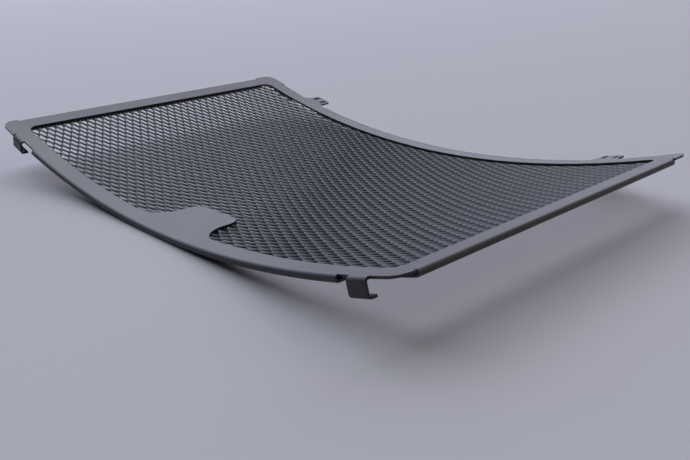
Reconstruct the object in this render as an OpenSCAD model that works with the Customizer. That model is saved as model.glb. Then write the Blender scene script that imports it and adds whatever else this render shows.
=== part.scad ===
// Motorcycle radiator guard: a folded and rolled sheet frame that clamps a panel of expanded metal.
// X runs along the width, +Y from the hooked edge to the edge with the tie tabs, +Z up.
// The guard lies on its curved belly, with its ends up, and the origin is at the middle of its base.

/* [Overall] */
// Width of the guard, measured along its curve
guard_w = 350; // [290:1:400]
// Depth from fold to fold
guard_d = 216.5; // [180:0.5:250]
// Radius that the inner face of the sheet is rolled to
curve_r = 570; // [480:5:900]

/* [Sheet] */
// Thickness of the sheet
sheet_t = 1.2; // [1:0.1:1.6]
// Width of the flat border round the opening, out to the fold
border_w = 11.2; // [10.5:0.1:14]
// Radius of the opening's corners
opening_r = 6; // [3:0.5:10]
// Width of the unfolded corners, from the ends to where the curved hems begin
corner_w = 17; // [15:0.5:18]
// Radius of three of the corners
corner_r = 7.5; // [6:0.5:9]
// Radius of the corner beside the right hook, which is cut back to the bend line
cut_corner_r = 7; // [5:0.5:8]

/* [Hem] */
// Width of the strip that is folded back under the border
return_w = 9; // [8:0.25:9.5]
// How far the near hem stops short of the left end and of the right end
near_hem_set = [41.5, 33.5];
// How far the hems on the two ends stop short of the near fold and of the far fold
end_hem_set = [10.75, 16.25];
// Slit between the end of a hem and the unfolded corner beside it
hem_slit = 1; // [0.6:0.1:1.5]

/* [Mesh] */
// Thickness of the rolled mesh panel
mesh_t = 0.9; // [0.7:0.1:1.2]
// Clearance between the mesh and the sheet on each face
mesh_clearance = 0.05; // [0.02:0.01:0.1]
// How far the mesh reaches under the border
mesh_lap = 8; // [6:0.25:8.5]
// Radius of the panel's corners
mesh_corner_r = 12; // [10:0.5:15]
// Length of a cell along the width, from knuckle to knuckle
cell_long = 28; // [24:1:40]
// Height of a cell along the depth, from knuckle to knuckle
cell_short = 15.4; // [13:0.1:22]
// Width of a strand
strand_w = 1.7; // [1.2:0.1:2.5]
// Width of the uncut rim of the panel
mesh_rim = 1.5; // [1:0.1:2.5]

/* [Tongue] */
// Width of the tongue between its sides
tongue_w = 38; // [30:0.5:60]
// Height of the tongue above the near border
tongue_h = 27.5; // [24:0.5:40]
// Place of the tongue's middle along the curve
tongue_s = 8.5; // [-60:0.5:60]
// Radius of the tongue's free corners
tongue_r = 7.5; // [3:0.5:9]
// Radius where the tongue's sides run into the border
tongue_fillet = 16.5; // [5:0.5:18]

/* [Hooks] */
// How far the middles of the hooks stand in from the left end and from the right end
hook_set = [23, 21.4];
// Width of a hook
hook_w = 10.2; // [8:0.1:12]
// Height of a hook, from the inner face of the sheet to its foot
hook_drop = 8.7; // [7:0.1:12]
// Length of the foot, from the outside of the hook
hook_foot = 4.8; // [3.5:0.1:7]
// Outer radius of the hook's two bends
hook_bend_r = 2.2; // [1.8:0.1:3]
// How far the hook stands out past the fold
hook_out = 1; // [0.8:0.1:2]

/* [Tie tabs] */
// How far the middles of the tabs stand in from the left end and from the right end
tab_set = [54, 48];
// Width of a tab
tab_w = 13; // [12:0.5:16]
// How far a tab stands out past the fold
tab_out = 10; // [8.5:0.5:14]
// Radius of the tab's corners
tab_r = 2; // [1:0.25:2.5]
// Radius where the tab runs into the border
tab_fillet = 5; // [3:0.5:6]
// Width of the sheet without a hem at each tab
tab_gap_w = 30; // [28:0.5:34]
// Length of a slot
slot_l = 6; // [5:0.25:7]
// Width of a slot
slot_w = 2.2; // [1.8:0.1:2.6]
// Distance between the middles of a tab's slots
slot_pitch = 7; // [6:0.25:7.5]

/* [Hidden] */
$fn = 96;

sheet_colour = [0.16, 0.16, 0.17];
mesh_colour = [0.26, 0.26, 0.28];

// Layers, counted outward from the inner face of the sheet
mesh_gap = mesh_t + 2 * mesh_clearance;
hem_t = 2 * sheet_t + mesh_gap;
fold_r = hem_t / 2;
fold_root = 3; // how far a rolled hem reaches back into the flat border
end_fold_set = 0.02; // the round of an end's fold stays this far inside the rolled faces
end_fold_root = 0.45;

// Half sizes: to the outside of the folds, to the bend lines, to the opening and to the panel's edge
half_w = guard_w / 2;
half_d = guard_d / 2;
bend_s = half_w - hem_t / 2;
bend_y = half_d - hem_t / 2;
opening_s = half_w - border_w;
opening_y = half_d - border_w;
panel_s = opening_s + mesh_lap;
panel_y = opening_y + mesh_lap;
hook_y = half_d + hook_out;
tab_y = half_d + tab_out;

// Places along the curve and along the depth, measured from the middle
corner_s = half_w - corner_w;
near_hem = [near_hem_set[0] - half_w, half_w - near_hem_set[1]];
end_hem = [end_hem_set[0] - half_d, half_d - end_hem_set[1]];
hook_s = [hook_set[0] - half_w, half_w - hook_set[1]];
tab_s = [tab_set[0] - half_w, half_w - tab_set[1]];

// The axis of the roll stands above the origin, which is midway between the hooks and the tabs
axis_z = curve_r + hem_t;
centre_y = (hook_y - tab_y) / 2;
plan_h = 100; // tall enough to cut through the rolled sheet
eps = 0.5;

// Angle that a length along the curve takes up
function turn(s) = s / curve_r * 180 / PI;
// Plan distance from the middle to a length along the curve, to a hundredth
function plan_x(s) = round(100 * curve_r * sin(turn(s))) / 100;

// Moves what is built about the axis of the roll to its place above the origin
module at_axis()
    translate([0, centre_y, axis_z])
        children();

// Turns a section of outward radius and depth about the axis of the roll, between two places
module rolled(s0, s1)
    rotate([-90, 90, 0])
        rotate_extrude(start = -turn(s1), angle = turn(s1 - s0))
            translate([curve_r, 0])
                children();

// A rolled layer: its distance below the inner face, its thickness and its reach
module layer(below, t, s0, s1, y0, y1)
    rolled(s0, s1)
        translate([below, y0])
            square([t, y1 - y0]);

// Puts things at a place along the curve, with their own +Z towards the axis of the roll
module at_curve(s)
    rotate([0, -turn(s), 0])
        translate([0, 0, -curve_r])
            children();

// Stands a plan outline up through the rolled sheet
module through()
    translate([0, 0, -axis_z - eps])
        linear_extrude(plan_h)
            children();

// A plan rectangle between two places along the curve
module plan_rect(s0, s1, y0, y1)
    translate([plan_x(s0), y0])
        square([plan_x(s1) - plan_x(s0), y1 - y0]);

// A plan rectangle about the middle with round corners
module rounded_rect(half_s, half_y, r) {
    half_x = plan_x(half_s);
    square([2 * (half_x - r), 2 * half_y], center = true);
    square([2 * half_x, 2 * (half_y - r)], center = true);
    for (x = [-1, 1], y = [-1, 1])
        translate([x * (half_x - r), y * (half_y - r)])
            circle(r);
}

// Flips a plan outline into the quarter that the signs point to
module quarter(sign_x, sign_y)
    mirror([sign_x < 0 ? 1 : 0, 0])
        mirror([0, sign_y < 0 ? 1 : 0])
            children();

// An unfolded corner of the sheet, from the hem beside it out to its round
module corner(y_from, y_to, r)
    difference() {
        plan_rect(corner_s, half_w, y_from, y_to);
        translate([plan_x(half_w) - r, y_to - r])
            difference() {
                square(r + eps);
                circle(r);
            }
    }

// A fillet in the inner corner at the origin, open towards +X and +Y
module fillet(r)
    difference() {
        translate([-eps, -eps])
            square(r + eps);
        translate([r, r])
            circle(r);
    }

// Tongue that stands into the opening, with a broad fillet on each side
module tongue_outline() {
    left = plan_x(tongue_s) - tongue_w / 2;
    right = left + tongue_w;
    foot = -opening_y;
    top = foot + tongue_h;
    translate([left, foot - eps])
        square([tongue_w, tongue_h - tongue_r + eps]);
    translate([left + tongue_r, foot])
        square([tongue_w - 2 * tongue_r, tongue_h]);
    for (x = [left + tongue_r, right - tongue_r])
        translate([x, top - tongue_r])
            circle(tongue_r);
    translate([left, foot])
        mirror([1, 0])
            fillet(tongue_fillet);
    translate([right, foot])
        fillet(tongue_fillet);
}

// Tie tab: a flat ear at the far edge
module tab_outline(s) {
    x = plan_x(s);
    translate([x - tab_w / 2, bend_y - eps])
        square([tab_w, tab_y - tab_r - bend_y + eps]);
    translate([x - tab_w / 2 + tab_r, bend_y])
        square([tab_w - 2 * tab_r, tab_y - bend_y]);
    for (side = [-1, 1]) {
        translate([x + side * (tab_w / 2 - tab_r), tab_y - tab_r])
            circle(tab_r);
        translate([x + side * tab_w / 2, bend_y])
            mirror([side < 0 ? 1 : 0, 0])
                fillet(tab_fillet);
    }
}

// The two slots of a tie tab, with round ends
module tab_slots(s)
    for (side = [-1, 1])
        translate([plan_x(s) + side * slot_pitch / 2, tab_y - tab_out / 2 + eps]) {
            square([slot_w, slot_l - slot_w], center = true);
            for (end = [-1, 1])
                translate([0, end * (slot_l - slot_w) / 2])
                    circle(slot_w / 2);
        }

// Plan of the sheet inside its bend lines, with its corners and tabs
module sheet_outline() {
    near_from = hem_slit - end_hem[0];
    far_from = hem_slit + end_hem[1];
    plan_rect(-bend_s, bend_s, -near_from, far_from);
    plan_rect(-corner_s, corner_s, -bend_y, bend_y);
    quarter(-1, -1)
        corner(near_from, hook_y, corner_r);
    quarter(1, -1)
        corner(near_from, bend_y, cut_corner_r);
    for (side = [-1, 1])
        quarter(side, 1)
            corner(far_from, half_d, corner_r);
    for (s = tab_s)
        tab_outline(s);
}

module opening_outline()
    difference() {
        rounded_rect(opening_s, opening_y, opening_r);
        tongue_outline();
    }

module flat_sheet()
    intersection() {
        layer(0, sheet_t, -half_w - eps, half_w + eps, -half_d - eps, tab_y + eps);
        through()
            difference() {
                sheet_outline();
                opening_outline();
                for (s = tab_s)
                    tab_slots(s);
            }
    }

// Section of a fold: how far outward of the inner face, and how far past the bend line
module fold_section(r, root)
    difference() {
        translate([hem_t / 2, 0])
            circle(r);
        translate([hem_t / 2, 0])
            circle(r - sheet_t);
        translate([-eps, -root - hem_t])
            square([hem_t + 2 * eps, hem_t]);
    }

// Hem along a curved edge; the side is -1 for the near edge and 1 for the far one
module curved_fold(side, s0, s1)
    rolled(s0, s1)
        mirror([0, side < 0 ? 1 : 0])
            translate([0, bend_y]) {
                translate([0, -fold_root])
                    square([sheet_t, fold_root]);
                fold_section(fold_r, 0);
                translate([hem_t - sheet_t, -return_w])
                    square([sheet_t, return_w]);
            }

// Hem along a straight end; the side is -1 for the left end and 1 for the right one
module end_fold(side, y0, y1)
    mirror([side < 0 ? 1 : 0, 0, 0]) {
        at_curve(bend_s)
            translate([0, y1, 0])
                rotate([90, 0, 0])
                    linear_extrude(y1 - y0)
                        rotate(-90)
                            fold_section(fold_r - end_fold_set, end_fold_root);
        layer(hem_t - sheet_t, sheet_t, bend_s - return_w, bend_s, y0, y1);
    }

// A quarter bend of the sheet about the origin, in the +X +Y quarter
module bend_section()
    intersection() {
        difference() {
            circle(hook_bend_r);
            circle(hook_bend_r - sheet_t);
        }
        square(hook_bend_r + eps);
    }

// Section of a hook: down from the edge and back under it
module hook_section() {
    bend_middle = hook_y - hook_bend_r;
    translate([0, bend_y - eps])
        square([sheet_t, bend_middle - bend_y + eps]);
    translate([hook_bend_r, bend_middle])
        mirror([1, 0])
            bend_section();
    translate([hook_bend_r, hook_y - sheet_t])
        square([hook_drop - 2 * hook_bend_r, sheet_t]);
    translate([hook_drop - hook_bend_r, bend_middle])
        bend_section();
    translate([hook_drop - sheet_t, hook_y - hook_foot])
        square([sheet_t, hook_foot - hook_bend_r]);
}

module hook(s)
    rolled(s - hook_w / 2, s + hook_w / 2)
        mirror([0, 1])
            hook_section();

module frame()
    color(sheet_colour)
        at_axis() {
            flat_sheet();
            curved_fold(-1, near_hem[0], near_hem[1]);
            curved_fold(1, hem_slit - corner_s, tab_s[0] - tab_gap_w / 2);
            curved_fold(1, tab_s[0] + tab_gap_w / 2, tab_s[1] - tab_gap_w / 2);
            curved_fold(1, tab_s[1] + tab_gap_w / 2, corner_s - hem_slit);
            for (side = [-1, 1])
                end_fold(side, end_hem[0], end_hem[1]);
            for (s = hook_s)
                hook(s);
        }

// One opening of the mesh: a diamond between four strands
module cell(s, y) {
    side = norm([cell_long, cell_short]) / 2;
    open = 1 - strand_w * side / (cell_long * cell_short / 2);
    half_long = open * cell_long / 2;
    half_short = open * cell_short / 2;
    polygon([
        [plan_x(s - half_long), y],
        [plan_x(s), y - half_short],
        [plan_x(s + half_long), y],
        [plan_x(s), y + half_short],
    ]);
}

// Staggered rows of cells over the whole panel
module cells() {
    columns = ceil(2 * panel_s / cell_long);
    rows = ceil(2 * panel_y / cell_short);
    for (i = [-columns:columns], j = [-rows:rows])
        if ((i + j) % 2 == 0)
            cell(i * cell_long / 2, j * cell_short / 2);
}

module mesh_panel()
    color(mesh_colour)
        at_axis()
            intersection() {
                layer(sheet_t + mesh_clearance, mesh_t, -panel_s - eps, panel_s + eps, -panel_y - eps, panel_y + eps);
                through()
                    difference() {
                        rounded_rect(panel_s, panel_y, mesh_corner_r);
                        intersection() {
                            cells();
                            rounded_rect(panel_s - mesh_rim, panel_y - mesh_rim, mesh_corner_r - mesh_rim);
                        }
                    }
            }

frame();
mesh_panel();
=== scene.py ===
"""Dresses the radiator guard: powder coat on the folded frame, and expanded metal in its opening."""

import math

import bmesh
import bpy
import numpy as np
from mathutils import Matrix, Vector


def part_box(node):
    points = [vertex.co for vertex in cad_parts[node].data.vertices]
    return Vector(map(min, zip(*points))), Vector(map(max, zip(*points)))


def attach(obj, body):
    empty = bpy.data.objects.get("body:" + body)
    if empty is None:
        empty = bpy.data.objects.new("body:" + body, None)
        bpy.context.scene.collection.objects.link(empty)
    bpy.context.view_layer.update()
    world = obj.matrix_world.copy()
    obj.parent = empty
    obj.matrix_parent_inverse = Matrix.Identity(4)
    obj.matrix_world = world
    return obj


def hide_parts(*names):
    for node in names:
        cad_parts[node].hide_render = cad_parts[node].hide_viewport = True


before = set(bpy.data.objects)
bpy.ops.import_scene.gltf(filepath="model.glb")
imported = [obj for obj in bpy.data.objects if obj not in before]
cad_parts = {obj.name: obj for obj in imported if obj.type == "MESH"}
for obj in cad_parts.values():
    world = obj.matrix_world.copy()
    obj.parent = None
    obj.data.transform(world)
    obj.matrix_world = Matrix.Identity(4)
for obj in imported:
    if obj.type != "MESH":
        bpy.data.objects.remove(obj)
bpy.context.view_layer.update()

MM = 0.001
PANEL_NODE = "mesh_panel"
FRAME_NODE = "frame"

# The guard's own sizes, in millimetres, where S is a length along the curve and Y a depth
CURVE_R = 570.0  # radius of the sheet's inner face
SHEET_T = 1.2
MESH_GAP = 1.0  # room for the mesh between the sheet and the folded flange
HEM_T = 2 * SHEET_T + MESH_GAP
AXIS_Z = CURVE_R + HEM_T  # height of the curve's axis over the base
OPENING_S = 163.8  # half of the opening
OPENING_Y = 97.05  # half of the opening
PANEL_CORNER = 12.0  # radius of the mesh panel's corners
MESH_DEPTH = SHEET_T + MESH_GAP / 2  # from the inner face to the middle of the mesh
CENTRE_Y = -4.5  # middle of the opening
BEND_Y = 106.55  # from the middle of the opening to the bend lines of the curved hems
NEAR_HEMS = ((-133.5, 141.5),)  # start and end of each hem of the near edge
FAR_HEMS = ((-157.0, -136.0), (-106.0, 112.0), (142.0, 157.0))

# The coat on the rolled hems, in millimetres
COAT_PROUD = 0.06  # how far it stands out of the roll
COAT_DEPTH = 0.3  # how far it reaches into the roll
COAT_LEAD = 0.5  # how far it runs on to the flat faces
COAT_STEP = 3.0  # between its rings
COAT_ARC_STEPS = 16  # faces round the half circle of the roll
COAT_SHARP_ANGLE = 40.0  # edges that turn by more degrees than this are drawn sharp

# The expanded metal, in millimetres and degrees
CELL_LONG = 10.0
CELL_SHORT = 5.5
STRAND_W = 1.0
STRAND_T = 0.75
STRAND_TILT = 43.0
BOND_L = 1.6  # length of the joint between two strands
PERIOD_CORNERS = 4  # corners of a strand's zigzag in one cell
SECTION_CORNERS = 4  # corners of a strand's section
WELD_GAP = 0.001  # corners closer than this become one
CLAMP_FADE = 4.0  # the strands lie down over this distance before the hem
CLAMP_FILL = 0.95  # share of the room in the hem that the pressed mesh takes up
SIDE_ANGLES = (0, 90, 180, 270)  # directions of the cuts along the four sides
CORNER_ANGLES = (22.5, 45, 67.5)  # directions of the cuts that round each corner

# The powder coat: the pebble in its surface and the clouds in its colour
PEBBLE = {"Detail": 2.0, "Roughness": 0.55}
PEBBLE_HEIGHT = 0.03  # in millimetres
PEBBLE_STRENGTH = 0.35
CLOUDS = {"Scale": 28.0, "Detail": 3.0, "Roughness": 0.6}
CLOUDS_MIDDLE = 0.5
CLOUDS_IN_GLOSS = 0.1  # how far the clouds change the roughness

# The studio, in metres
DIM_ROOM = (0.012, 0.012, 0.014)
BACKDROP = (0.43, 0.435, 0.52)
BACKDROP_IN_GLOSS = 0.5
FLOOR_HALF = 3.2
FLOOR_COLOUR = (0.64, 0.62, 0.67, 1)
FLOOR_ROUGHNESS = 0.7

# The camera as fitted to the photograph, in the frame's own axes, in millimetres
CAMERA_PLACE = (344.6, -295.0, 143.0)
CAMERA_RIGHT = (0.6832, 0.7298, -0.0228)
CAMERA_BACK = (0.6878, -0.6328, 0.3555)
LENS = 42.0
SENSOR = 36.0
CAMERA_NEAREST = 10.0  # nothing closer than this is drawn

# Where a Mix node of colours has its sockets
MIX_FACTOR = 0
MIX_FIRST = 6
MIX_SECOND = 7
MIX_RESULT = 2


def linked(name, data):
    """A new object in the scene that holds this data."""
    made = bpy.data.objects.new(name, data)
    bpy.context.scene.collection.objects.link(made)
    return made


def new_mesh(name, points, faces):
    """A mesh of these corners and faces, and a copy of it to work on."""
    data = bpy.data.meshes.new(name)
    data.from_pydata(points.tolist(), [], faces)
    work = bmesh.new()
    work.from_mesh(data)
    return data, work


def close_mesh(data, work):
    """Turns all faces outwards and puts the worked copy back into the mesh."""
    bmesh.ops.recalc_face_normals(work, faces=work.faces)
    work.to_mesh(data)
    work.free()


def smooth_step(t):
    """Eases from 0 to 1 as t goes from 0 to 1."""
    t = np.clip(t, 0.0, 1.0)
    return t * t * (3 - 2 * t)


def rolled(points, centre_y):
    """Rolls points of (length along the curve, depth, distance below the inner face) into the frame."""
    s, y, below = points.T
    angle = s / CURVE_R
    radius = CURVE_R + below
    return np.stack([radius * np.sin(angle), y + centre_y, AXIS_Z - radius * np.cos(angle)], axis=1) * MM


def strand_wave(step):
    """Sideways place of a zigzag strand at each of its corners, from -1 to 1."""
    return np.where(np.isin(step % PERIOD_CORNERS, (0, 1)), 1.0, -1.0)


def strand_lines(row, steps, wave):
    """The four long edges of one strand: low back, low front, high back and high front."""
    tilt = math.radians(STRAND_TILT)
    across = STRAND_W / 2 * math.cos(tilt)
    rise = STRAND_W / 2 * math.sin(tilt)
    swing = CELL_SHORT / 4 - across
    # Corners stand at both ends of each bond
    corner_s = (steps // 2) * CELL_LONG / 2 + np.where(steps % 2 == 0, -BOND_L / 2, BOND_L / 2)
    middle_y = (row + 0.5) * CELL_SHORT / 2 + swing * wave
    middle_z = -rise * wave
    lines = []
    for side in (-1, 1):
        edge_y = middle_y + side * across
        edge_z = middle_z + side * rise
        for face in (-1, 1):
            skin_y = edge_y - face * STRAND_T / 2 * math.sin(tilt)
            skin_z = edge_z + face * STRAND_T / 2 * math.cos(tilt)
            lines.append(np.stack([corner_s, skin_y, skin_z], axis=1))
    return lines


def strand_faces(first, steps, wave):
    """Faces of one strand, left open at each bond, where the next strand goes on."""
    count = len(steps)
    low_back, low_front, high_back, high_front = (first + n * count for n in range(SECTION_CORNERS))
    faces = []
    for k in range(count - 1):
        faces.append((low_front + k, low_front + k + 1, high_front + k + 1, high_front + k))
        faces.append((low_back + k, high_back + k, high_back + k + 1, low_back + k + 1))
        in_bond = steps[k] % 2 == 0
        bonded_high = wave[k] > 0
        if not (in_bond and bonded_high):
            faces.append((high_back + k, high_front + k, high_front + k + 1, high_back + k + 1))
        if not (in_bond and not bonded_high):
            faces.append((low_back + k, low_back + k + 1, low_front + k + 1, low_front + k))
    return faces


def flat_expanded_metal(half_s, half_y):
    """Corners and faces of the flat mesh: zigzag strands, side by side, that meet at the bonds."""
    periods = math.ceil(half_s / CELL_LONG) + 1
    strands = math.ceil(2 * half_y / CELL_SHORT) + 1
    steps = np.arange(-PERIOD_CORNERS * periods, PERIOD_CORNERS * periods + 1)
    lines = []
    faces = []
    for row in range(-strands, strands + 1):
        # Every second strand is half a period along
        wave = strand_wave(steps + PERIOD_CORNERS // 2 * (row % 2))
        faces += strand_faces(len(lines) * len(steps), steps, wave)
        lines += strand_lines(row, steps, wave)
    return np.concatenate(lines), faces


def trim(work, half_s, half_y):
    """Cuts the flat mesh to the panel's outline, and closes the cut ends of the strands."""
    planes = []
    for degrees in SIDE_ANGLES:
        direction = Vector((math.cos(math.radians(degrees)), math.sin(math.radians(degrees)), 0))
        planes.append((Vector((direction.x * half_s, direction.y * half_y, 0)), direction))
    for sign_s in (-1, 1):
        for sign_y in (-1, 1):
            centre = Vector((sign_s * (half_s - PANEL_CORNER), sign_y * (half_y - PANEL_CORNER), 0))
            for degrees in CORNER_ANGLES:
                turn = math.radians(degrees)
                direction = Vector((sign_s * math.cos(turn), sign_y * math.sin(turn), 0))
                planes.append((centre + direction * PANEL_CORNER, direction))
    for place, direction in planes:
        geometry = work.verts[:] + work.edges[:] + work.faces[:]
        cut = bmesh.ops.bisect_plane(
            work, geom=geometry, plane_co=place, plane_no=direction, clear_outer=True
        )
        rim = [e for e in cut["geom_cut"] if isinstance(e, bmesh.types.BMEdge)]
        bmesh.ops.holes_fill(work, edges=rim, sides=0)


def clamp_to_hem(points):
    """Presses the mesh flat under the border, so that it fits between the sheet and the flange."""
    inside = np.minimum(OPENING_S - np.abs(points[:, 0]), OPENING_Y - np.abs(points[:, 1]))
    free = smooth_step(inside / CLAMP_FADE)
    full = np.abs(points[:, 2]).max()
    pressed = MESH_GAP / 2 / full * CLAMP_FILL
    points[:, 2] *= pressed + (1 - pressed) * free
    return points


def expanded_panel():
    """Expanded metal in the outline of the panel node, rolled as it is and clamped in the hems."""
    low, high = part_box(PANEL_NODE)
    centre_y = (low.y + high.y) / 2 / MM
    half_y = (high.y - low.y) / 2 / MM
    half_s = CURVE_R * math.asin((high.x - low.x) / 2 / MM / (CURVE_R + MESH_DEPTH))
    data, work = new_mesh("expanded_metal", *flat_expanded_metal(half_s, half_y))
    bmesh.ops.remove_doubles(work, verts=work.verts, dist=WELD_GAP)
    trim(work, half_s, half_y)
    close_mesh(data, work)
    flat = clamp_to_hem(np.array([v.co for v in data.vertices]))
    flat[:, 2] = MESH_DEPTH - flat[:, 2]
    placed = rolled(flat, centre_y)
    data.vertices.foreach_set("co", placed.astype(np.float32).ravel())
    data.update()
    data.shade_smooth()
    return linked("expanded_metal", data)


def hem_section(offset):
    """The outside of a rolled hem as (past the middle, below the inner face), set out or in by an offset."""
    radius = HEM_T / 2 + offset
    angles = np.linspace(math.pi / 2, -math.pi / 2, COAT_ARC_STEPS + 1)
    out = np.concatenate([[BEND_Y - COAT_LEAD], BEND_Y + radius * np.cos(angles), [BEND_Y - COAT_LEAD]])
    below = HEM_T / 2 - np.concatenate([[radius], radius * np.sin(angles), [-radius]])
    return np.stack([out, below], axis=1)


def coat_rings(section, side, places):
    """The coat's section at each place along the hem."""
    rings = []
    for s in places:
        ring = np.stack([np.full(len(section), s), side * section[:, 0], section[:, 1]], axis=1)
        rings.append(rolled(ring, CENTRE_Y))
    return rings


def coat_faces(first, around, count):
    """Faces between the rings of one coat, and over its two ends."""
    faces = []
    for i in range(count - 1):
        for j in range(around):
            a = first + i * around + j
            b = first + i * around + (j + 1) % around
            faces.append((a, b, b + around, a + around))
    last = first + (count - 1) * around
    for outer in range(around // 2 - 1):
        inner = around - 1 - outer
        faces.append((first + outer, first + outer + 1, first + inner - 1, first + inner))
        faces.append((last + outer, last + inner, last + inner - 1, last + outer + 1))
    return faces


def hem_coats():
    """Evenly rounded coats over the rolled hems, which the solid frame shows in long facets."""
    section = np.concatenate([hem_section(COAT_PROUD), hem_section(-COAT_DEPTH)[::-1]])
    around = len(section)
    rings = []
    faces = []
    for side, hems in ((-1, NEAR_HEMS), (1, FAR_HEMS)):
        for start, end in hems:
            places = np.linspace(start, end, round((end - start) / COAT_STEP) + 1)
            faces += coat_faces(len(rings) * around, around, len(places))
            rings += coat_rings(section, side, places)
    data, work = new_mesh("hem_coats", np.concatenate(rings), faces)
    close_mesh(data, work)
    data.shade_smooth()
    data.set_sharp_from_angle(angle=math.radians(COAT_SHARP_ANGLE))
    return linked("hem_coats", data)


class Wire:
    """An output in a node tree. Arithmetic on it adds Math nodes."""

    def __init__(self, tree, socket):
        self.tree = tree
        self.socket = socket

    def maths(self, operation, first, second):
        node = self.tree.nodes.new("ShaderNodeMath")
        node.operation = operation
        for place, value in enumerate((first, second)):
            if isinstance(value, Wire):
                self.tree.links.new(value.socket, node.inputs[place])
            else:
                node.inputs[place].default_value = value
        return Wire(self.tree, node.outputs[0])

    def __add__(self, other):
        return self.maths("ADD", self, other)

    __radd__ = __add__

    def __sub__(self, other):
        return self.maths("SUBTRACT", self, other)

    def __rsub__(self, other):
        return self.maths("SUBTRACT", other, self)

    def __mul__(self, other):
        return self.maths("MULTIPLY", self, other)

    __rmul__ = __mul__


class Recipe:
    """The node tree of a material or of the world."""

    def __init__(self, tree):
        self.tree = tree

    def node(self, kind, settings=None, **sockets):
        made = self.tree.nodes.new(kind)
        for key, value in (settings or {}).items():
            setattr(made, key, value)
        self.fill(made, sockets)
        return made

    def fill(self, node, sockets):
        for key, value in sockets.items():
            socket = node.inputs[key.replace("_", " ")]
            if isinstance(value, Wire):
                self.tree.links.new(value.socket, socket)
            elif isinstance(value, bpy.types.NodeSocket):
                self.tree.links.new(value, socket)
            else:
                socket.default_value = value

    def wire(self, node, output):
        return Wire(self.tree, node.outputs[output])

    def mix(self, factor, first, second):
        """A colour between two others."""
        blend = self.node("ShaderNodeMix", {"data_type": "RGBA"})
        self.tree.links.new(factor.socket, blend.inputs[MIX_FACTOR])
        blend.inputs[MIX_FIRST].default_value = (*first, 1)
        blend.inputs[MIX_SECOND].default_value = (*second, 1)
        return blend.outputs[MIX_RESULT]


class Finish(Recipe):
    """A material, and the nodes that it is built from."""

    def __init__(self, name):
        self.material = bpy.data.materials.new(name)
        self.material.use_nodes = True
        super().__init__(self.material.node_tree)

    def shade(self, **sockets):
        self.fill(self.tree.nodes["Principled BSDF"], sockets)


def powder_coat(name, dark, light, roughness, grain):
    """Satin powder coat: a pebble of this grain, in millimetres, and a colour that is slightly uneven."""
    finish = Finish(name)
    place = finish.node("ShaderNodeTexCoord").outputs["Object"]
    pebble = finish.node("ShaderNodeTexNoise", Vector=place, Scale=1 / (grain * MM), **PEBBLE)
    clouds = finish.wire(finish.node("ShaderNodeTexNoise", Vector=place, **CLOUDS), "Fac")
    bump = finish.node(
        "ShaderNodeBump",
        Height=pebble.outputs["Fac"],
        Strength=PEBBLE_STRENGTH,
        Distance=PEBBLE_HEIGHT * MM,
    )
    finish.shade(
        Base_Color=finish.mix(clouds, dark, light),
        Roughness=roughness + CLOUDS_IN_GLOSS * (clouds - CLOUDS_MIDDLE),
        Normal=bump.outputs["Normal"],
    )
    return finish.material


def give(piece, material):
    """Dresses a piece, or a node of the frame, in one material."""
    piece.data.materials.clear()
    piece.data.materials.append(material)


def softbox(name, place, size, power, colour):
    """A wide soft lamp that looks at the guard and isn't seen itself."""
    data = bpy.data.lights.new(name, "AREA")
    data.shape = "RECTANGLE"
    data.size, data.size_y = size
    data.energy = power
    data.color = colour
    lamp = linked(name, data)
    lamp.location = place
    lamp.rotation_euler = (-Vector(place)).to_track_quat("-Z", "Y").to_euler()
    lamp.visible_camera = False


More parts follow.
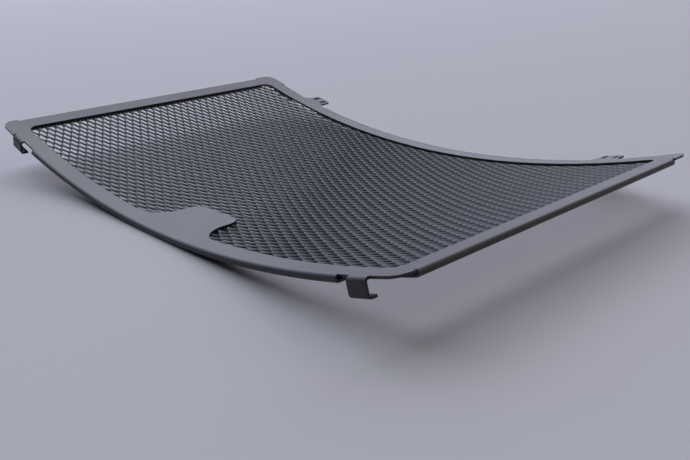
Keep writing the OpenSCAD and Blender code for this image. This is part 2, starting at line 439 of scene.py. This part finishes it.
def studio():
    """The world and the lamps."""
    world = bpy.data.worlds.new("studio")
    world.use_nodes = True
    paint = Recipe(world.node_tree)
    rays = paint.node("ShaderNodeLightPath")
    # The pale backdrop shows to the camera and, more faintly, in the gloss, and gives no light of its own
    shown = paint.wire(rays, "Is Camera Ray") + BACKDROP_IN_GLOSS * paint.wire(rays, "Is Glossy Ray")
    paint.fill(paint.tree.nodes["Background"], {"Color": paint.mix(shown, DIM_ROOM, BACKDROP)})
    bpy.context.scene.world = world
    softbox("back_light", place=(-4.8, 6.4, 4.7), size=(12.0, 8.4), power=660, colour=(0.80, 0.81, 1.0))
    softbox("top_light", place=(-2.2, -0.2, 3.9), size=(5.0, 5.0), power=104, colour=(0.94, 0.99, 1.0))
    softbox("left_light", place=(-3.9, -0.6, 2.6), size=(3.2, 3.2), power=34, colour=(0.45, 0.62, 1.0))
    softbox("rear_light", place=(3.0, 3.6, 3.0), size=(3.8, 3.8), power=32, colour=(1.0, 0.88, 0.5))


def floor():
    """A plain pale floor at the height of the guard's base."""
    data = bpy.data.meshes.new("floor")
    corners = [(x * FLOOR_HALF, y * FLOOR_HALF, 0) for x, y in ((-1, -1), (1, -1), (1, 1), (-1, 1))]
    data.from_pydata(corners, [], [(0, 1, 2, 3)])
    ground = linked("floor", data)
    finish = Finish("pale_floor")
    finish.shade(Base_Color=FLOOR_COLOUR, Roughness=FLOOR_ROUGHNESS, Specular_IOR_Level=0.0)
    give(ground, finish.material)


def camera():
    """The camera, with its three axes squared to each other."""
    back = Vector(CAMERA_BACK).normalized()
    up = back.cross(Vector(CAMERA_RIGHT)).normalized()
    right = up.cross(back)
    data = bpy.data.cameras.new("camera")
    data.lens = LENS
    data.sensor_width = SENSOR
    data.clip_start = CAMERA_NEAREST * MM
    eye = linked("camera", data)
    turn = Matrix((right, up, back)).transposed().to_4x4()
    eye.matrix_world = Matrix.Translation(Vector(CAMERA_PLACE) * MM) @ turn
    bpy.context.scene.camera = eye


bpy.context.scene.view_settings.view_transform = "Standard"
camera()
studio()
floor()

# The frame's black powder coat is written darker than the mesh's, as painted shade on its faces that turn to
# the camera.
frame_coat = powder_coat(
    "frame_coat",
    dark=(0.006, 0.0068, 0.0088),
    light=(0.0105, 0.0115, 0.0145),
    roughness=0.43,
    grain=0.35,
)
# The mesh's coat is the same black powder coat, written lighter than the frame's as painted light on its
# strands.
mesh_coat = powder_coat(
    "mesh_coat",
    dark=(0.028, 0.031, 0.040),
    light=(0.042, 0.046, 0.058),
    roughness=0.5,
    grain=0.3,
)
give(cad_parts[FRAME_NODE], frame_coat)

coats = hem_coats()
give(coats, frame_coat)
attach(coats, "root")

panel = expanded_panel()
give(panel, mesh_coat)
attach(panel, "root")
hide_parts(PANEL_NODE)
